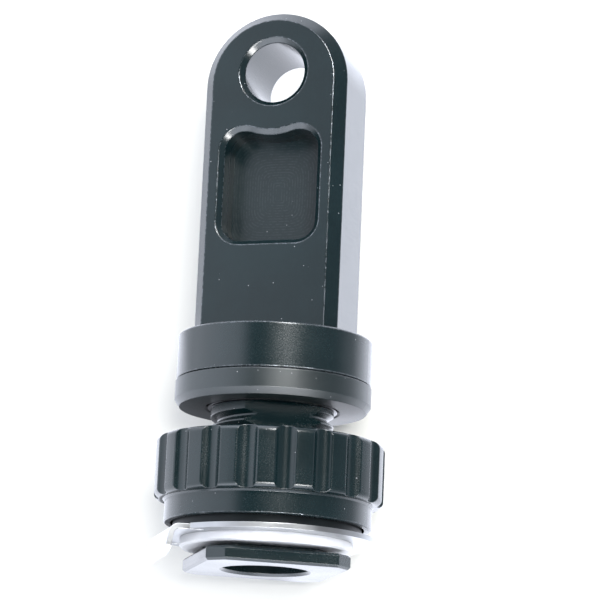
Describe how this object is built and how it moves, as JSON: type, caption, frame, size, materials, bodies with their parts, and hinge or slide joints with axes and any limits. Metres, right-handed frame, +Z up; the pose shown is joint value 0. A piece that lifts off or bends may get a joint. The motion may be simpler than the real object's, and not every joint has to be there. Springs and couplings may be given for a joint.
{
  "type": "swivel accessory-shoe post",
  "caption": "Flat bevelled post with a cross hole and pocketed faces, swivelling on a collared threaded stud with a fluted clamp nut, bright lock plate and square shoe foot.",
  "frame": {"origin": "centre of the shoe foot's bottom face, on the swivel axis", "axes": "+Z up the post along the swivel axis; -Y out of the front pocket face, parallel to the cross hole; +X across the post. At rest the shoe foot, its stud flats and the lock plate are turned 31 degrees anticlockwise seen from above"},
  "size_m": [0.0308, 0.0294, 0.0731],
  "materials": {
    "anodised_black": "satin black anodised, fine vertical grain",
    "nylon_black": "matte moulded",
    "acetal_white": "smooth low-friction plastic",
    "stainless_bright": "polished stainless steel",
    "steel_oxide": "black oxide",
    "spring_steel": "oiled spring steel"
  },
  "bodies": {
    "base": {"foot_stud": "anodised_black", "collar": "anodised_black", "swivel_washer": "acetal_white", "snap_ring": "stainless_bright", "spring_washer_lower": "spring_steel", "spring_washer_upper": "spring_steel", "screw_washer": "spring_steel"},
    "swivel_post": {"post": "anodised_black", "pivot_screw": "steel_oxide"},
    "plate": {"lock_plate": "stainless_bright", "shoe_pad": "acetal_white", "pressure_pad": "nylon_black"},
    "nut": {"clamp_nut": "anodised_black"}
  },
  "joints": [
    {"name": "post_swivel", "type": "hinge", "parent": "base", "child": "swivel_post", "pos_m": [0, 0, 0.02418], "axis": [0, 0, 1], "continuous": true},
    {"name": "plate_travel", "type": "slide", "parent": "base", "child": "plate", "axis": [0, 0, 1], "range_m": [-0.0006, 0.004]},
    {"name": "nut_turn", "type": "hinge", "parent": "plate", "child": "nut", "pos_m": [0, 0, 0.0125], "axis": [0, 0, 1], "range_deg": [-130, 950]}
  ],
  "couplings": [
    {"joint": "plate_travel", "follows": "nut_turn", "m_per_rad": 0.00023873}
  ]
}
